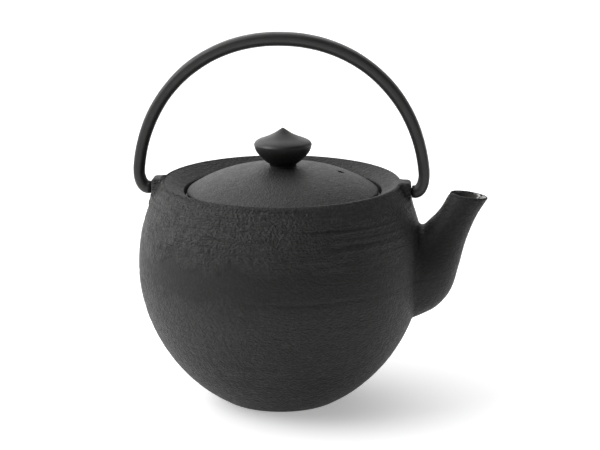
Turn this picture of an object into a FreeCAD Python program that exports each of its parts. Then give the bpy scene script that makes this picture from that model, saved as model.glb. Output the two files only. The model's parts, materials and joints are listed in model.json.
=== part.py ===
import FreeCAD, Part
import math
import os

# A round cast-iron teapot with a bail handle, a lid and a lift-out tea strainer.
# Millimetres. +Z is up, +X is the way the spout points, the origin is the centre of the base.
# Each function below makes one physical piece, and build() writes one STEP file per piece.

# Body: a squashed ball, drawn as one superellipse below its widest circle and one above it.
BODY_RADIUS = 71.0
EQUATOR_Z = 68.7
LOWER_POWER = 1.89
UPPER_POWER = 2.29
BASE_RADIUS = 28.2
RIM_Z = 112.1
RIM_RADIUS = 58.95
WALL = 3.2
FLOOR = 4.0

# Mouth of the pot. The lid opening sits a little towards the spout from the body's own axis.
OPENING_X = 1.0
OPENING_RADIUS = 49.0
OPENING_Z = 107.2
RIM_LAND = 0.65
LEDGE_Z = 103.6
THROAT_RADIUS = 45.0
THROAT_BOTTOM = 100.4
SHOULDER_Z = 95.0
ROOF_BEND = (61.3, 99.9)
ROOF_EDGE = (55.5, 101.6)
ROOF_INNER_RADIUS = THROAT_RADIUS - 2

# Lugs that carry the handle, and the pins of the handle in their blind holes.
LUG_FACE_X = 64.6
LUG_WIDTH = 12.4
LUG_TOP = 112.4
LUG_BOTTOM = 100.0
LUG_ROUND = 2.4
LUG_SOFT = 1.9
PIVOT_Z = 107.2
PIN_RADIUS = 2.0
PIN_CLEARANCE = 0.05
PIN_HOLE_END_X = 59.0
PIN_END_GAP = 0.6
STUB_GAP = 0.4

# Handle: an arch of one superellipse. Its section has a flat outside and a round inside.
ARCH_BASE_Z = 108.1
ARCH_HALF_SPAN = 71.25
ARCH_HEIGHT = 74.25
ARCH_POWER = 2.1
ARCH_FLATNESS = 2.9
ARCH_STEPS = 9
ARCH_TOP_SECTION = (6.8, 8.6)
ARCH_FOOT_SECTION = (5.6, 7.0)
FOOT_START_X = 66.5
FOOT_BEND = (4.4, 8.5)
FOOT_STEPS = 5
STUB_RADIUS = 3.25

# Spout: (top x, top z), (bottom x, bottom z), half width. Each row is one flat section.
SPOUT_SECTIONS = (
    ((60.0, 86.0), (60.0, 40.5), 20.5),
    ((65.0, 87.5), (70.1, 44.7), 19.6),
    ((68.5, 89.0), (78.6, 49.6), 18.0),
    ((70.8, 90.3), (85.1, 58.1), 15.8),
    ((72.6, 91.8), (88.9, 70.8), 13.2),
    ((74.5, 93.8), (91.5, 81.1), 11.2),
    ((77.1, 96.4), (94.4, 89.5), 9.7),
    ((80.1, 100.4), (97.7, 96.9), 8.5),
    ((83.9, 107.5), (102.6, 104.9), 7.4),
)
SPOUT_WALL = 2.7
SPOUT_LIP = 1.6
SPOUT_LEAN = (0.55, 0.83)

# Lid: a shallow dome that rests on the strainer's flange inside the opening.
LID_RADIUS = 47.5
LID_TOP = 119.0
LID_EDGE_Z = 107.1
DOME_POWER = 2.75
DOME_STEPS = 8
LID_THICKNESS = 3.1
LID_LAND = 3.6
LID_LAND_SLOPE = 1.2
LID_EDGE_BEVEL = (0.9, 0.5)
SEAT_RADIUS = 7.6
BOSS_RADIUS = 6.5
BOSS_BOTTOM = 112.6
VENT_RADIUS = 1.5
VENT_OFFSET = (28.6, 2.5)

# Knob: a pointed cap over a bowl, on a short neck. A screw from below holds it.
KNOB_CAP = (
    (0.0, 138.5),
    (1.5, 137.6),
    (4.3, 135.7),
    (7.9, 133.9),
    (11.7, 132.4),
    (13.5, 131.4),
    (14.2, 130.2),
)
KNOB_BOWL = (
    (14.2, 129.8),
    (13.8, 128.1),
    (12.8, 126.1),
    (11.2, 124.2),
    (9.1, 122.1),
    (7.1, 120.6),
    (6.6, 119.8),
)
KNOB_FOOT_RADIUS = 6.9
SCREW_RADIUS = 1.75
SCREW_HOLE_RADIUS = 1.85
SCREW_TOP = 126.0
SCREW_HEAD = (3.7, 2.4)
SCREW_SLOT = (0.9, 1.1)
WASHER = (5.2, 0.8)
LID_HOLE_RADIUS = 1.95
WASHER_BOTTOM = BOSS_BOTTOM - WASHER[1]

# Strainer: sheet flange and collar, mesh basket, and a bottom pan.
SHEET = 0.5
FLANGE_RADIUS = 48.6
COLLAR_RADIUS = 43.6
COLLAR_BOTTOM = 96.6
BASKET_TOP = 103.3
BASKET_TOP_RADIUS = 43.0
BASKET_TAPER = (96.0, 78.5)
BASKET_BOTTOM = 73.9
BASKET_BOTTOM_RADIUS = 37.5
PAN_GAP = 0.1
PAN_TOP = 78.0
PAN_BOTTOM = 73.3

FLANGE_TOP = LEDGE_Z + SHEET
CLEAR = 10.0


def vec(x, y, z):
    return FreeCAD.Vector(x, y, z)


def reach(height, radius, power):
    """How far a superellipse of BODY_RADIUS runs along Z, if it has this radius at this height."""
    return height / (1 - (radius / BODY_RADIUS) ** power) ** (1 / power)


LOWER_REACH = reach(EQUATOR_Z, BASE_RADIUS, LOWER_POWER)
UPPER_REACH = reach(RIM_Z - EQUATOR_Z, RIM_RADIUS, UPPER_POWER)


def side_radius(z, inset=0.0):
    """Radius of the body's side at height z, or of the surface that lies inset within it."""
    above = z > EQUATOR_Z
    power = UPPER_POWER if above else LOWER_POWER
    span = (UPPER_REACH if above else LOWER_REACH) - inset
    return (BODY_RADIUS - inset) * (1 - (abs(z - EQUATOR_Z) / span) ** power) ** (1 / power)


def side_edge(low, high, inset, steps):
    """The side's outline from height low to height high."""
    heights = [low + (high - low) * i / steps for i in range(steps + 1)]
    curve = Part.BSplineCurve()
    curve.interpolate([vec(0, side_radius(z, inset), z) for z in heights])
    return curve.toShape()


def spline(points):
    """A smooth edge through (radius, height) points."""
    curve = Part.BSplineCurve()
    curve.interpolate([vec(0, r, z) for r, z in points])
    return curve.toShape()


def lines(points):
    """Straight edges through (radius, height) points."""
    corners = [vec(0, r, z) for r, z in points]
    return [Part.makeLine(a, b) for a, b in zip(corners, corners[1:])]


def turned(edges, x=0.0):
    """The solid that a closed outline in the YZ plane sweeps round a vertical axis at x."""
    outline = Part.Wire(Part.__sortEdges__(edges))
    solid = Part.Face(outline).revolve(vec(0, 0, 0), vec(0, 0, 1), 360)
    solid.translate(vec(x, 0, 0))
    return solid


def loop(points):
    """A smooth closed outline through an even number of points, as two splines that meet smoothly."""
    count = len(points)
    half = count // 2
    steps = [i / half for i in range(half + 1)]
    edges = []
    for first in (0, half):
        run = [points[(first + i) % count] for i in range(half + 1)]
        end = first + half
        leave = (points[(first + 1) % count] - points[first - 1]) * (half / 2)
        arrive = (points[(end + 1) % count] - points[end - 1]) * (half / 2)
        curve = Part.BSplineCurve()
        curve.interpolate(Points=run, Parameters=steps, InitialTangent=leave, FinalTangent=arrive)
        edges.append(curve.toShape())
    return Part.Wire(edges)


def disc(radius, low, high, x=0.0, y=0.0):
    return Part.makeCylinder(radius, high - low, vec(x, y, low), vec(0, 0, 1))


def ring(inner, outer, low, high, x=0.0):
    return disc(outer, low, high, x).cut(disc(inner, low - 1, high + 1, x))


def body_outside():
    """The ball with a flat base and a flat top."""
    edges = lines([(RIM_RADIUS, RIM_Z), (0, RIM_Z), (0, 0), (BASE_RADIUS, 0)])
    edges.append(side_edge(0, EQUATOR_Z, 0, 10))
    edges.append(side_edge(EQUATOR_Z, RIM_Z, 0, 8))
    return turned(edges)


def body_inside():
    """The hollow, up to the throat."""
    wall_low = side_radius(FLOOR, WALL)
    wall_high = side_radius(SHOULDER_Z, WALL)
    bend = Part.Arc(vec(0, wall_high, SHOULDER_Z), vec(0, *ROOF_BEND), vec(0, *ROOF_EDGE))
    edges = lines([ROOF_EDGE, (ROOF_INNER_RADIUS, THROAT_BOTTOM), (0, THROAT_BOTTOM)])
    edges += lines([(0, THROAT_BOTTOM), (0, FLOOR), (wall_low, FLOOR)])
    edges.append(side_edge(FLOOR, EQUATOR_Z, WALL, 10))
    edges.append(side_edge(EQUATOR_Z, SHOULDER_Z, WALL, 6))
    edges.append(bend.toShape())
    return turned(edges)


def rim_dish():
    """The cone between the rim and the lid opening, whose two circles aren't concentric."""
    rise = RIM_Z - OPENING_Z
    over = 1.5
    flare = (RIM_RADIUS - RIM_LAND - OPENING_RADIUS) * over
    low = Part.makeCircle(OPENING_RADIUS, vec(OPENING_X, 0, OPENING_Z))
    high = Part.makeCircle(OPENING_RADIUS + flare, vec(OPENING_X * (1 - over), 0, OPENING_Z + rise * over))
    return Part.makeLoft([Part.Wire(low), Part.Wire(high)], True, True)


def lug(side):
    """The ear at one end of the spout's plane. side is +1 on the spout's side."""
    inner_x = PIN_HOLE_END_X - 3
    turn = LUG_FACE_X - LUG_ROUND
    y = -LUG_WIDTH / 2
    mid = LUG_ROUND * math.sqrt(0.5)
    arc = Part.Arc(
        vec(turn, y, LUG_TOP),
        vec(turn + mid, y, LUG_TOP - LUG_ROUND + mid),
        vec(LUG_FACE_X, y, LUG_TOP - LUG_ROUND),
    )
    points = [
        vec(LUG_FACE_X, y, LUG_TOP - LUG_ROUND),
        vec(LUG_FACE_X, y, LUG_BOTTOM),
        vec(inner_x, y, LUG_BOTTOM),
        vec(inner_x, y, LUG_TOP),
        vec(turn, y, LUG_TOP),
    ]
    edges = [Part.makeLine(a, b) for a, b in zip(points, points[1:])] + [arc.toShape()]
    ear = Part.Face(Part.Wire(Part.__sortEdges__(edges))).extrude(vec(0, LUG_WIDTH, 0))
    upright = [e for e in ear.Edges if abs(e.BoundBox.XMin - LUG_FACE_X) < 0.01 and e.BoundBox.YLength < 0.01]
    ear = ear.makeFillet(LUG_SOFT, upright)
    if side < 0:
        ear = ear.mirror(vec(0, 0, 0), vec(1, 0, 0))
    return ear


def spout_section(top, bottom, half_width, inset=0.0, shift=(0.0, 0.0)):
    """A closed oval across the spout, upright in Y, from its top point to its bottom point."""
    middle = ((top[0] + bottom[0]) / 2 + shift[0], (top[1] + bottom[1]) / 2 + shift[1])
    half = math.dist(top, bottom) / 2
    along = ((bottom[0] - top[0]) / 2 / half, (bottom[1] - top[1]) / 2 / half)
    points = []
    count = 16
    for i in range(count):
        turn = 2 * math.pi * i / count
        down = (half - inset) * math.cos(turn)
        across = (half_width - inset) * math.sin(turn)
        points.append(vec(middle[0] + along[0] * down, across, middle[1] + along[1] * down))
    return loop(points)


def spout_outside():
    return Part.makeLoft([spout_section(*row) for row in SPOUT_SECTIONS], True, False)


def spout_bore():
    """The hollow in the spout, which opens into the body and runs out past the mouth."""
    last = len(SPOUT_SECTIONS) - 1
    wires = []
    for i, row in enumerate(SPOUT_SECTIONS):
        inset = SPOUT_WALL + (SPOUT_LIP - SPOUT_WALL) * (i / last) ** 2
        wires.append(spout_section(*row, inset))
    beyond = (SPOUT_LEAN[0] * 3, SPOUT_LEAN[1] * 3)
    wires.append(spout_section(*SPOUT_SECTIONS[last], SPOUT_LIP, beyond))
    return Part.makeLoft(wires, True, False)


def make_body():
    """One casting: ball, spout and lugs, hollowed out."""
    body = body_outside().fuse(spout_outside())
    for side in (-1, 1):
        body = body.fuse(lug(side))
    body = body.cut(rim_dish())
    body = body.cut(disc(OPENING_RADIUS, LEDGE_Z, OPENING_Z + 1, OPENING_X))
    body = body.cut(disc(THROAT_RADIUS, THROAT_BOTTOM - 1, LEDGE_Z + 1, OPENING_X))
    body = body.cut(body_inside())
    body = body.cut(spout_bore())
    for side in (-1, 1):
        hole = Part.makeCylinder(
            PIN_RADIUS + PIN_CLEARANCE,
            LUG_FACE_X + CLEAR - PIN_HOLE_END_X,
            vec(side * PIN_HOLE_END_X, 0, PIVOT_Z),
            vec(side, 0, 0),
        )
        body = body.cut(hole)
    return body.removeSplitter()


def handle_section(x, z, outward, thick, wide, flatness):
    """A closed outline across the handle. outward is the unit vector away from the arch's middle."""
    points = []
    count = 16
    for i in range(count):
        turn = 2 * math.pi * i / count
        power = 2 / (flatness if math.cos(turn) > 0 else 2.0)
        out = math.copysign(abs(math.cos(turn)) ** power, math.cos(turn)) * thick / 2
        across = math.copysign(abs(math.sin(turn)) ** power, math.sin(turn)) * wide / 2
        points.append(vec(x + outward[0] * out, across, z + outward[1] * out))
    return loop(points)


def half_handle():
    """The sections from the stub at the lug, round the foot's bend and up to the top of the arch."""
    stub_face = LUG_FACE_X + STUB_GAP
    wires = [handle_section(stub_face, PIVOT_Z, (0, -1), STUB_RADIUS * 2, STUB_RADIUS * 2, 2.0)]
    thick, wide = ARCH_FOOT_SECTION
    bend_x, bend_z = FOOT_BEND
    for i in range(FOOT_STEPS):
        part = i / (FOOT_STEPS - 1)
        angle = math.pi / 2 * part
        size = STUB_RADIUS * 2 * (1 - part) + thick * part
        breadth = STUB_RADIUS * 2 * (1 - part) + wide * part
        x = FOOT_START_X + bend_x * math.sin(angle)
        z = PIVOT_Z + bend_z * (1 - math.cos(angle))
        across = math.sin(angle) / bend_x
        down = math.cos(angle) / bend_z
        length = math.hypot(across, down)
        out = (across / length, -down / length)
        wires.append(handle_section(x, z, out, size, breadth, 2 + (ARCH_FLATNESS - 2) * part))
    for i in range(1, ARCH_STEPS + 1):
        angle = math.pi / 2 * i / ARCH_STEPS
        part = math.sin(angle)
        x = ARCH_HALF_SPAN * max(math.cos(angle), 0) ** (2 / ARCH_POWER)
        z = ARCH_BASE_Z + ARCH_HEIGHT * math.sin(angle) ** (2 / ARCH_POWER)
        across = (x / ARCH_HALF_SPAN) ** (ARCH_POWER - 1) / ARCH_HALF_SPAN
        up = ((z - ARCH_BASE_Z) / ARCH_HEIGHT) ** (ARCH_POWER - 1) / ARCH_HEIGHT
        length = math.hypot(across, up)
        size = ARCH_FOOT_SECTION[0] + (ARCH_TOP_SECTION[0] - ARCH_FOOT_SECTION[0]) * part
        breadth = ARCH_FOOT_SECTION[1] + (ARCH_TOP_SECTION[1] - ARCH_FOOT_SECTION[1]) * part
        wires.append(handle_section(x, z, (across / length, up / length), size, breadth, ARCH_FLATNESS))
    return wires


def make_handle():
    half = Part.makeLoft(half_handle(), True, False)
    pin_x = PIN_HOLE_END_X + PIN_END_GAP
    pin_length = LUG_FACE_X + STUB_GAP + 1 - pin_x
    pin = Part.makeCylinder(PIN_RADIUS, pin_length, vec(pin_x, 0, PIVOT_Z), vec(1, 0, 0))
    half = half.fuse(pin)
    other = half.mirror(vec(0, 0, 0), vec(1, 0, 0))
    return half.fuse(other).removeSplitter()


def dome_z(radius, top):
    """Height of the dome, which is flatter in the middle than a ball and steeper at the edge."""
    return top - (LID_TOP - LID_EDGE_Z) * (radius / LID_RADIUS) ** DOME_POWER


def dome_edge(inner, outer, top):
    radii = [inner + (outer - inner) * i / DOME_STEPS for i in range(DOME_STEPS + 1)]
    return spline([(r, dome_z(r, top)) for r in radii])


def make_lid():
    under = LID_TOP - LID_THICKNESS
    land = LID_RADIUS - LID_LAND
    land_end = land - LID_LAND_SLOPE
    shoulder = LID_RADIUS - LID_EDGE_BEVEL[0]
    side_top = dome_z(LID_RADIUS, LID_TOP) - LID_EDGE_BEVEL[1]
    boss_z = dome_z(BOSS_RADIUS, under)
    seat_z = dome_z(SEAT_RADIUS, LID_TOP)
    edges = lines([(0, BOSS_BOTTOM), (0, LID_TOP), (SEAT_RADIUS, LID_TOP), (SEAT_RADIUS, seat_z)])
    edges.append(dome_edge(SEAT_RADIUS, shoulder, LID_TOP))
    edges += lines(
        [
            (shoulder, dome_z(shoulder, LID_TOP)),
            (LID_RADIUS, side_top),
            (LID_RADIUS, FLANGE_TOP),
            (land, FLANGE_TOP),
            (land_end, dome_z(land_end, under)),
        ]
    )
    edges.append(dome_edge(BOSS_RADIUS, land_end, under))
    edges += lines([(BOSS_RADIUS, boss_z), (BOSS_RADIUS, BOSS_BOTTOM), (0, BOSS_BOTTOM)])
    lid = turned(edges, OPENING_X)
    lid = lid.cut(disc(LID_HOLE_RADIUS, under - CLEAR, LID_TOP + 1, OPENING_X))
    vent_x, vent_y = VENT_OFFSET
    return lid.cut(disc(VENT_RADIUS, under - CLEAR, LID_TOP + 1, OPENING_X + vent_x, vent_y))


def make_knob():
    foot = (KNOB_FOOT_RADIUS, LID_TOP)
    edges = [spline(KNOB_CAP), spline(KNOB_BOWL)]
    edges += lines([KNOB_CAP[-1], KNOB_BOWL[0]])
    edges += lines([KNOB_BOWL[-1], foot, (0, LID_TOP), KNOB_CAP[0]])
    knob = turned(edges, OPENING_X)
    return knob.cut(disc(SCREW_HOLE_RADIUS, LID_TOP - 1, SCREW_TOP + 1, OPENING_X))


def make_washer():
    return ring(LID_HOLE_RADIUS, WASHER[0], WASHER_BOTTOM, BOSS_BOTTOM, OPENING_X)


def make_screw():
    """A slotted pan-head screw."""
    radius, height = SCREW_HEAD
    slot_width, slot_depth = SCREW_SLOT
    low = WASHER_BOTTOM - height
    head = disc(radius, low, low + height, OPENING_X)
    head = head.makeFillet(0.8, [e for e in head.Edges if abs(e.CenterOfMass.z - low) < 0.01])
    slot = Part.makeBox(4 * radius, slot_width, slot_depth, vec(OPENING_X - 2 * radius, -slot_width / 2, low))
    shank = disc(SCREW_RADIUS, low + height / 2, SCREW_TOP, OPENING_X)
    return head.fuse(shank).cut(slot).removeSplitter()


def make_strainer_rim():
    """Flange and collar, bent from one sheet."""
    flange = ring(COLLAR_RADIUS - SHEET, FLANGE_RADIUS, LEDGE_Z, FLANGE_TOP, OPENING_X)
    collar = ring(COLLAR_RADIUS - SHEET, COLLAR_RADIUS, COLLAR_BOTTOM, FLANGE_TOP, OPENING_X)
    return flange.fuse(collar).removeSplitter()


def make_strainer_mesh():
    """The basket's side, as a thin sleeve."""
    outside = [
        (BASKET_BOTTOM_RADIUS, BASKET_BOTTOM),
        (BASKET_BOTTOM_RADIUS, BASKET_TAPER[1]),
        (BASKET_TOP_RADIUS, BASKET_TAPER[0]),
        (BASKET_TOP_RADIUS, BASKET_TOP),
    ]
    inside = [(r - SHEET, z) for r, z in reversed(outside)]
    return turned(lines(outside + inside + outside[:1]), OPENING_X)


def make_strainer_base():
    """The pan that closes the basket, folded up round the mesh."""
    inner = BASKET_BOTTOM_RADIUS + PAN_GAP
    pan = disc(inner + SHEET, PAN_BOTTOM, PAN_TOP, OPENING_X)
    return pan.cut(disc(inner, PAN_BOTTOM + SHEET, PAN_TOP + 1, OPENING_X))


PIECES = {
    "teapot_body": make_body,
    "handle": make_handle,
    "lid": make_lid,
    "knob": make_knob,
    "knob_washer": make_washer,
    "knob_screw": make_screw,
    "strainer_rim": make_strainer_rim,
    "strainer_mesh": make_strainer_mesh,
    "strainer_base": make_strainer_base,
}


def build():
    os.makedirs("parts", exist_ok=True)
    for name, make in PIECES.items():
        shape = make()
        solids = len(shape.Solids)
        print(name, "valid", shape.isValid(), "solids", solids, "cm3", round(shape.Volume / 1000, 2))
        shape.exportStep(f"parts/{name}.step")


build()
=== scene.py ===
import json
import math

import bpy
import numpy as np
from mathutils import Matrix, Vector


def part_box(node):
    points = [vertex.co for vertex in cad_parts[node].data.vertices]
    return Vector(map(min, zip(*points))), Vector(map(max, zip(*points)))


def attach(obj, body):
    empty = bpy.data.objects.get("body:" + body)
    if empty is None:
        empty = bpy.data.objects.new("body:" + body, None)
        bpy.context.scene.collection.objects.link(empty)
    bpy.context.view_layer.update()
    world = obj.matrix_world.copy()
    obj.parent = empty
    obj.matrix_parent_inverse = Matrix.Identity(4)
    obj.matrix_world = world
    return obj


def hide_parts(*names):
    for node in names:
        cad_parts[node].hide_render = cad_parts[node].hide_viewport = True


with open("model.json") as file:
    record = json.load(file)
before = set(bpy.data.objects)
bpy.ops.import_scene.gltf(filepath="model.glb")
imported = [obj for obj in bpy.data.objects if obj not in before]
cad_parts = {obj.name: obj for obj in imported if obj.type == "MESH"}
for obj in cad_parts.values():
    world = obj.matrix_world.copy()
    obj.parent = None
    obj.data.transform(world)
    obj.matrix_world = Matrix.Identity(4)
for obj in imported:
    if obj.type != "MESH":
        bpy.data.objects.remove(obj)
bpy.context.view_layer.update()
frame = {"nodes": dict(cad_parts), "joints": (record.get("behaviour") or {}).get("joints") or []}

# Shapes are worked out in millimetres, in the row frame, and turned into metres when a mesh is made.
MM = 0.001

# Body: one superellipse below the widest circle and one above it.
BODY_RADIUS = round(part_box("teapot_body")[1].y / MM, 1)
EQUATOR_Z = 68.7
LOWER_POWER = 1.89
UPPER_POWER = 2.29
BASE_RADIUS = 28.2
RIM_Z = 112.1
RIM_RADIUS = 58.95
RIM_LAND = 0.65
WALL = 3.2
FLOOR = 4.0

# Mouth of the pot, which sits a little towards the spout.
OPENING_X = 1.0
OPENING_RADIUS = 49.0
OPENING_Z = 107.2
LEDGE_Z = 103.6
THROAT_RADIUS = 45.0
THROAT_BOTTOM = 100.4

# Lugs and the handle's pivot.
LUG_FACE_X = 64.6
LUG_WIDTH = 12.4
LUG_TOP = round(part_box("teapot_body")[1].z / MM, 1)
LUG_FOOT = 95.0
PIVOT_Z = round(frame["joints"][0]["pos_m"][2] / MM, 2)
PIN_RADIUS = 2.0
PIN_CLEARANCE = 0.05
PIN_HOLE_END_X = 59.0

# Spout: (top x, top z), (bottom x, bottom z), half width. Each row is one flat section.
SPOUT_SECTIONS = (
    ((60.0, 86.0), (60.0, 40.5), 20.5),
    ((65.0, 87.5), (70.1, 44.7), 19.6),
    ((68.5, 89.0), (78.6, 49.6), 18.0),
    ((70.8, 90.3), (85.1, 58.1), 15.8),
    ((72.6, 91.8), (88.9, 70.8), 13.2),
    ((74.5, 93.8), (91.5, 81.1), 11.2),
    ((77.1, 96.4), (94.4, 89.5), 9.7),
    ((80.1, 100.4), (97.7, 96.9), 8.5),
    ((83.9, 107.5), (102.6, 104.9), 7.4),
)
SPOUT_WALL = 2.7
SPOUT_LIP = 1.35
SPOUT_LEAN = (0.55, 0.83)
SPOUT_FILLET = (0.5, 3.0)
RIM_ROUND = 1.1
RIM_CREST = RIM_Z + 0.35

# Field value for points that the spout's bore is nowhere near.
FAR = 99.0

# Steps round the axis in each casting's mesh.
BODY_TURNS = 512
LID_TURNS = 432


# ---------------------------------------------------------------- shapes as distance fields


def blend_in(a, b, radius):
    """Where both fields are negative, with the edge rounded."""
    corner = np.hypot(np.maximum(a + radius, 0), np.maximum(b + radius, 0))
    return np.minimum(-radius, np.maximum(a, b)) + corner


def blend_join(a, b, radius):
    """Where either field is negative, with the inside corner filled to a fillet."""
    corner = np.hypot(np.maximum(radius - a, 0), np.maximum(radius - b, 0))
    return np.maximum(radius, np.minimum(a, b)) - corner


def reach(height, radius, power):
    """How far a superellipse of BODY_RADIUS runs along Z, if it has this radius at this height."""
    return height / (1 - (radius / BODY_RADIUS) ** power) ** (1 / power)


LOWER_REACH = reach(EQUATOR_Z, BASE_RADIUS, LOWER_POWER)
UPPER_REACH = reach(RIM_Z - EQUATOR_Z, RIM_RADIUS, UPPER_POWER)


def side_radius(z, inset=0.0):
    """Radius of the body's side at height z, or of the surface that lies inset within it."""
    power = np.where(z > EQUATOR_Z, UPPER_POWER, LOWER_POWER)
    span = np.where(z > EQUATOR_Z, UPPER_REACH, LOWER_REACH) - inset
    share = np.clip(np.abs(z - EQUATOR_Z) / span, 0, 0.999)
    return (BODY_RADIUS - inset) * (1 - share**power) ** (1 / power)


def side_field(r, z, inset=0.0):
    """Distance outside the body's side, or outside the surface that lies inset within it."""
    step = 0.2
    slope = (side_radius(z + step, inset) - side_radius(z - step, inset)) / (2 * step)
    return (r - side_radius(z, inset)) / np.sqrt(1 + slope**2)


def dish_centre(z):
    """X of the dish's axis, which moves from the opening's to the body's as the dish rises."""
    return OPENING_X * (1 - np.clip((z - OPENING_Z) / (RIM_Z - OPENING_Z), 0, 1.5))


def smooth_rows(rows, count):
    """Catmull-Rom rows through the given rows, count to each gap."""
    rows = np.asarray(rows, float)
    ends = np.vstack([2 * rows[0] - rows[1], rows, 2 * rows[-1] - rows[-2]])
    t = np.linspace(0, 1, count, endpoint=False)[:, None]
    out = []
    for i in range(len(rows) - 1):
        a, b, c, d = ends[i : i + 4]
        square, cube = 2 * a - 5 * b + 4 * c - d, 3 * b - a - 3 * c + d
        out.append(0.5 * (2 * b + (c - a) * t + square * t**2 + cube * t**3))
    return np.vstack(out + [rows[-1:]])


class Tube:
    """The spout as a swept oval. For a point it finds the section that the point lies in."""

    STEP = 0.5
    LOW = (54.0, 36.0)
    SIZE = (112, 170)

    def __init__(self):
        flat = [(*top, *bottom, half) for top, bottom, half in SPOUT_SECTIONS]
        rows = smooth_rows(flat, 40)
        top, bottom = rows[:, 0:2], rows[:, 2:4]
        self.last = len(rows) - 1
        middle = (top + bottom) / 2
        along = bottom - top
        half = np.linalg.norm(along, axis=1) / 2
        along = along / (2 * half[:, None])
        ahead = np.stack([-along[:, 1], along[:, 0]], 1)
        ahead *= np.sign((ahead * np.gradient(middle, axis=0)).sum(1))[:, None]
        gx, gz = (self.LOW[k] + self.STEP * np.arange(self.SIZE[k]) for k in (0, 1))
        x, z = (g.ravel() for g in np.meshgrid(gx, gz, indexing="ij"))
        dx = x[:, None] - middle[None, :, 0]
        dz = z[:, None] - middle[None, :, 1]
        front = dx * ahead[:, 0] + dz * ahead[:, 1]
        side = dx * along[:, 0] + dz * along[:, 1]
        crossing = (front[:, :-1] >= 0) & (front[:, 1:] < 0)
        cost = np.where(crossing, np.abs(side[:, :-1]), 1e6)
        pick = cost.argmin(1)
        found = cost[np.arange(len(x)), pick] < 1e6
        beyond = ~found & (front[:, -1] >= 0) & (front.min(1) > -60)
        at = np.arange(len(x))
        ahead_of_next = front[at, np.minimum(pick + 1, self.last)]
        share = front[at, pick] / np.maximum(front[at, pick] - ahead_of_next, 1e-6)
        station = np.where(found, pick + np.clip(share, 0, 1), np.where(beyond, self.last, 0))
        lower = np.minimum(station.astype(int), self.last - 1)
        part = station - lower

        def between(values):
            return values[lower] * (1 - part) + values[lower + 1] * part

        across = side[at, lower] * (1 - part) + side[at, lower + 1] * part
        lean = np.array(SPOUT_LEAN) / np.hypot(*SPOUT_LEAN)
        travel = np.maximum(front[:, -1], 0) / (lean @ ahead[-1])
        slid = side[:, -1] - travel * (lean @ along[-1])
        across = np.where(beyond, slid, across)
        wide = between(rows[:, 4])
        tall = between(half)
        done = between(np.arange(self.last + 1) / self.last)
        grid = [across, tall, wide, done, front[:, -1]]
        self.table = np.stack(grid, -1).reshape(*self.SIZE, len(grid))

    def look_up(self, x, z):
        u = np.clip((x - self.LOW[0]) / self.STEP, 0, self.SIZE[0] - 1.001)
        v = np.clip((z - self.LOW[1]) / self.STEP, 0, self.SIZE[1] - 1.001)
        i, j = u.astype(int), v.astype(int)
        fu, fv = (u - i)[:, None], (v - j)[:, None]
        t = self.table
        low = t[i, j] * (1 - fu) + t[i + 1, j] * fu
        high = t[i, j + 1] * (1 - fu) + t[i + 1, j + 1] * fu
        return low * (1 - fv) + high * fv

    def fields(self, x, y, z):
        """Outside and bore of the spout, and how far the point is past the mouth's plane."""
        across, tall, wide, share, past = self.look_up(x, z).T
        out = []
        for inset in (0.0, SPOUT_WALL + (SPOUT_LIP - SPOUT_WALL) * share**2):
            a, b = tall - inset, wide - inset
            q = np.sqrt((across / a) ** 2 + (y / b) ** 2) + 1e-6
            steep = np.sqrt((across / a**2) ** 2 + (y / b**2) ** 2) / q + 1e-6
            out.append((q - 1) / steep)
        return out[0], out[1], past


tube = Tube()


def lug_field(x, y, z):
    """A block with rounded edges at each end of the spout's plane."""
    soft = 2.2
    half = np.array([(LUG_FACE_X - 50) / 2, LUG_WIDTH / 2, (LUG_TOP - LUG_FOOT) / 2])
    centre = np.array([50 + half[0], 0, LUG_FOOT + half[2]])
    q = [np.abs(v - c) - h + soft for v, c, h in zip((np.abs(x), y, z), centre, half)]
    outside = np.sqrt(sum(np.maximum(v, 0) ** 2 for v in q))
    return outside + np.minimum(np.maximum(np.maximum(q[0], q[1]), q[2]), 0) - soft


def hollow_fields(x, y, z):
    """The hollow's parts as fields: dish, opening, throat, cavity."""
    r = np.hypot(x, y)
    off = np.hypot(x - OPENING_X, y)
    grow = (RIM_RADIUS - RIM_LAND - OPENING_RADIUS) / (RIM_Z - OPENING_Z)
    cone = np.hypot(x - dish_centre(z), y) - OPENING_RADIUS - grow * (z - OPENING_Z)
    dish = cone / math.hypot(1, grow)
    opening = blend_in(off - OPENING_RADIUS, LEDGE_Z - z, 0.3)
    throat = np.maximum(off - THROAT_RADIUS, THROAT_BOTTOM - 3 - z)
    roof = z - THROAT_BOTTOM - 0.096 * (r - THROAT_RADIUS + 2)
    cavity = blend_in(side_field(r, z, WALL), roof, 7.0)
    cavity = blend_in(cavity, FLOOR - z, 5.0)
    return dish, opening, throat, cavity


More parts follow.
